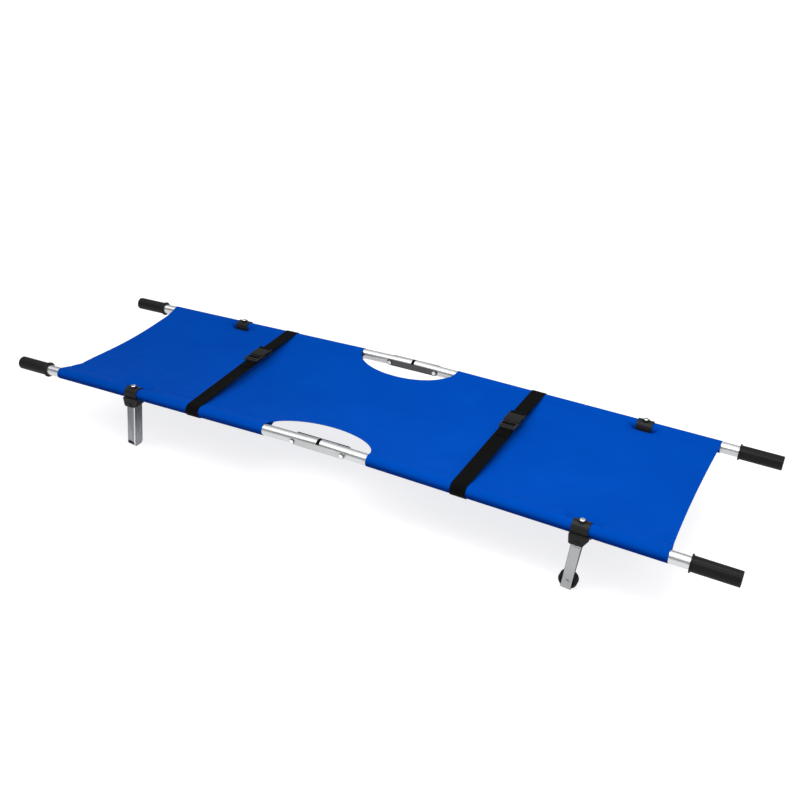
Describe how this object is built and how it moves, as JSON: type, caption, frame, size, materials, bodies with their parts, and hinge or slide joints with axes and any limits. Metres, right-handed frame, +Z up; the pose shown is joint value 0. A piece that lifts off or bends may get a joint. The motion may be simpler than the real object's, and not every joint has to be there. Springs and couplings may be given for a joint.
{
  "type": "folding stretcher",
  "caption": "Four-fold stretcher: two hinged tube poles with grips, a fabric bed, knee spreaders, fold-down feet and wheels, and two strap belts.",
  "frame": {"origin": "on the floor under the middle of the stretcher", "axes": "+X from the plain-foot (head) end to the wheel (foot) end, +Y to the left pole, +Z up"},
  "size_m": [2.0806, 0.5696, 0.1997],
  "materials": {
    "pole_aluminium": "drawn, satin",
    "black_plastic": "matte",
    "grip_rubber": "fluted, matte",
    "canvas_blue": "coated, slight sheen",
    "clamp_black": "black, semi-gloss",
    "rivet_chrome": "polished",
    "webbing_black": "woven",
    "leg_steel": "zinc plated, satin",
    "leg_zinc": "zinc plated, satin",
    "link_steel": "satin",
    "spreader_steel": "zinc plated",
    "buckle_plastic": "gloss",
    "wheel_rubber": "matte"
  },
  "bodies": {
    "right_head": {"right_head_tube": "pole_aluminium", "right_head_hinge_plug": "black_plastic", "right_head_grip": "grip_rubber", "right_head_canvas_sleeve": "canvas_blue", "right_head_upper_clamp": "clamp_black", "right_head_lower_clamp": "clamp_black", "right_head_rivets": "rivet_chrome", "right_head_strap_wrap": "webbing_black", "head_canvas": "canvas_blue", "head_strap_webbing": "webbing_black"},
    "right_head_leg": {"right_head_leg": "leg_steel"},
    "head_arm_right": {"head_spreader_arm_right": "spreader_steel", "head_knee_pin": "rivet_chrome"},
    "left_head": {"left_head_tube": "pole_aluminium", "left_head_hinge_plug": "black_plastic", "left_head_grip": "grip_rubber", "left_head_canvas_sleeve": "canvas_blue", "left_head_upper_clamp": "clamp_black", "left_head_lower_clamp": "clamp_black", "left_head_rivets": "rivet_chrome", "left_head_strap_wrap": "webbing_black"},
    "left_head_leg": {"left_head_leg": "leg_steel"},
    "head_arm_left": {"head_spreader_arm_left": "spreader_steel"},
    "head_buckle": {"head_buckle_socket": "buckle_plastic"},
    "head_buckle_tongue": {"head_buckle_tongue": "buckle_plastic"},
    "right_foot": {"right_foot_tube": "pole_aluminium", "right_foot_hinge_plug": "black_plastic", "right_foot_grip": "grip_rubber", "right_foot_canvas_sleeve": "canvas_blue", "right_foot_upper_clamp": "clamp_black", "right_foot_lower_clamp": "clamp_black", "right_foot_rivets": "rivet_chrome", "right_foot_strap_wrap": "webbing_black", "foot_canvas": "canvas_blue", "foot_strap_webbing": "webbing_black"},
    "right_foot_leg": {"right_foot_leg": "leg_zinc", "right_wheel_axle": "rivet_chrome"},
    "right_wheel": {"right_wheel": "wheel_rubber"},
    "foot_arm_right": {"foot_spreader_arm_right": "spreader_steel", "foot_knee_pin": "rivet_chrome"},
    "left_foot": {"left_foot_tube": "pole_aluminium", "left_foot_hinge_plug": "black_plastic", "left_foot_grip": "grip_rubber", "left_foot_canvas_sleeve": "canvas_blue", "left_foot_upper_clamp": "clamp_black", "left_foot_lower_clamp": "clamp_black", "left_foot_rivets": "rivet_chrome", "left_foot_strap_wrap": "webbing_black"},
    "left_foot_leg": {"left_foot_leg": "leg_zinc", "left_wheel_axle": "rivet_chrome"},
    "left_wheel": {"left_wheel": "wheel_rubber"},
    "foot_arm_left": {"foot_spreader_arm_left": "spreader_steel"},
    "foot_buckle": {"foot_buckle_socket": "buckle_plastic"},
    "foot_buckle_tongue": {"foot_buckle_tongue": "buckle_plastic"},
    "right_link": {"right_hinge_link": "link_steel", "right_hinge_rivets": "rivet_chrome", "mid_canvas": "canvas_blue"},
    "left_link": {"left_hinge_link": "link_steel", "left_hinge_rivets": "rivet_chrome"}
  },
  "joints": [
    {"name": "length_fold", "type": "hinge", "parent": "right_head", "child": "right_link", "pos_m": [-0.073, -0.2575, 0.176], "axis": [0, 1, 0], "range_deg": [0, 88.8]},
    {"name": "right_foot_fold", "type": "hinge", "parent": "right_link", "child": "right_foot", "pos_m": [0.073, -0.2575, 0.176], "axis": [0, 1, 0], "range_deg": [0, 88.85]},
    {"name": "left_link_fold", "type": "hinge", "parent": "left_head", "child": "left_link", "pos_m": [-0.073, 0.2575, 0.176], "axis": [0, 1, 0], "range_deg": [0, 88.85]},
    {"name": "width_fold", "type": "hinge", "parent": "right_head", "child": "head_arm_right", "pos_m": [-0.60865, -0.2275, 0.14817], "axis": [0.0207, 0, -0.9998], "range_deg": [0, 87.48], "deforming": ["head_canvas", "mid_canvas", "foot_canvas", "head_strap_webbing", "foot_strap_webbing"]},
    {"name": "head_knee", "type": "hinge", "parent": "head_arm_right", "child": "head_arm_left", "pos_m": [-0.60862, 0, 0.14672], "axis": [0.0207, 0, -0.9998], "range_deg": [-175, 0]},
    {"name": "left_head_carry", "type": "hinge", "parent": "head_arm_left", "child": "left_head", "pos_m": [-0.60859, 0.2275, 0.14527], "axis": [0.0207, 0, -0.9998], "range_deg": [0, 87.5]},
    {"name": "foot_arm_swing", "type": "hinge", "parent": "right_foot", "child": "foot_arm_right", "pos_m": [0.68765, -0.2275, 0.14653], "axis": [0.0207, 0, 0.9998], "range_deg": [0, 87.5]},
    {"name": "foot_knee", "type": "hinge", "parent": "foot_arm_right", "child": "foot_arm_left", "pos_m": [0.68762, 0, 0.14508], "axis": [0.0207, 0, 0.9998], "range_deg": [-175, 0]},
    {"name": "left_foot_carry", "type": "hinge", "parent": "foot_arm_left", "child": "left_foot", "pos_m": [0.68759, 0.2275, 0.14363], "axis": [0.0207, 0, 0.9998], "range_deg": [0, 87.5]},
    {"name": "right_head_leg_fold", "type": "hinge", "parent": "right_head", "child": "right_head_leg", "pos_m": [-0.60846, -0.2785, 0.13892], "axis": [0, 1, 0], "range_deg": [0, 71.05]},
    {"name": "left_head_leg_fold", "type": "hinge", "parent": "left_head", "child": "left_head_leg", "pos_m": [-0.60846, 0.2785, 0.13892], "axis": [0, 1, 0], "range_deg": [0, 71.05]},
    {"name": "right_foot_leg_fold", "type": "hinge", "parent": "right_foot", "child": "right_foot_leg", "pos_m": [0.68746, -0.2785, 0.13729], "axis": [0, 1, 0], "range_deg": [0, 75.05]},
    {"name": "left_foot_leg_fold", "type": "hinge", "parent": "left_foot", "child": "left_foot_leg", "pos_m": [0.68746, 0.2785, 0.13729], "axis": [0, 1, 0], "range_deg": [0, 75.05]},
    {"name": "right_wheel_spin", "type": "hinge", "parent": "right_foot_leg", "child": "right_wheel", "pos_m": [0.67508, -0.2673, 0.023], "axis": [0, 1, 0], "continuous": true},
    {"name": "left_wheel_spin", "type": "hinge", "parent": "left_foot_leg", "child": "left_wheel", "pos_m": [0.67508, 0.2673, 0.023], "axis": [0, 1, 0], "continuous": true},
    {"name": "head_buckle_travel", "type": "slide", "parent": "right_head", "child": "head_buckle", "axis": [0, -1, 0], "range_m": [0, 0.28045]},
    {"name": "head_buckle_release", "type": "slide", "parent": "head_buckle", "child": "head_buckle_tongue", "axis": [0, -1, 0], "range_m": [0, 0.036]},
    {"name": "foot_buckle_travel", "type": "slide", "parent": "right_foot", "child": "foot_buckle", "axis": [0, -1, 0], "range_m": [0, 0.28045]},
    {"name": "foot_buckle_release", "type": "slide", "parent": "foot_buckle", "child": "foot_buckle_tongue", "axis": [0, -1, 0], "range_m": [0, 0.036]}
  ],
  "couplings": [
    {"joint": "right_foot_fold", "follows": "length_fold", "ratio": 1},
    {"joint": "left_link_fold", "follows": "length_fold", "ratio": 1},
    {"joint": "head_knee", "follows": "width_fold", "ratio": -2},
    {"joint": "left_head_carry", "follows": "width_fold", "ratio": 1},
    {"joint": "foot_arm_swing", "follows": "width_fold", "ratio": 1},
    {"joint": "foot_knee", "follows": "width_fold", "ratio": -2},
    {"joint": "left_foot_carry", "follows": "width_fold", "ratio": 1},
    {"joint": "right_head_leg_fold", "follows": "length_fold", "ratio": 0.79955},
    {"joint": "left_head_leg_fold", "follows": "length_fold", "ratio": 0.79955},
    {"joint": "right_foot_leg_fold", "follows": "length_fold", "ratio": 0.84459},
    {"joint": "left_foot_leg_fold", "follows": "length_fold", "ratio": 0.84459},
    {"joint": "head_buckle_travel", "follows": "width_fold", "m_per_rad": 0.18355},
    {"joint": "foot_buckle_travel", "follows": "width_fold", "m_per_rad": 0.18355}
  ]
}
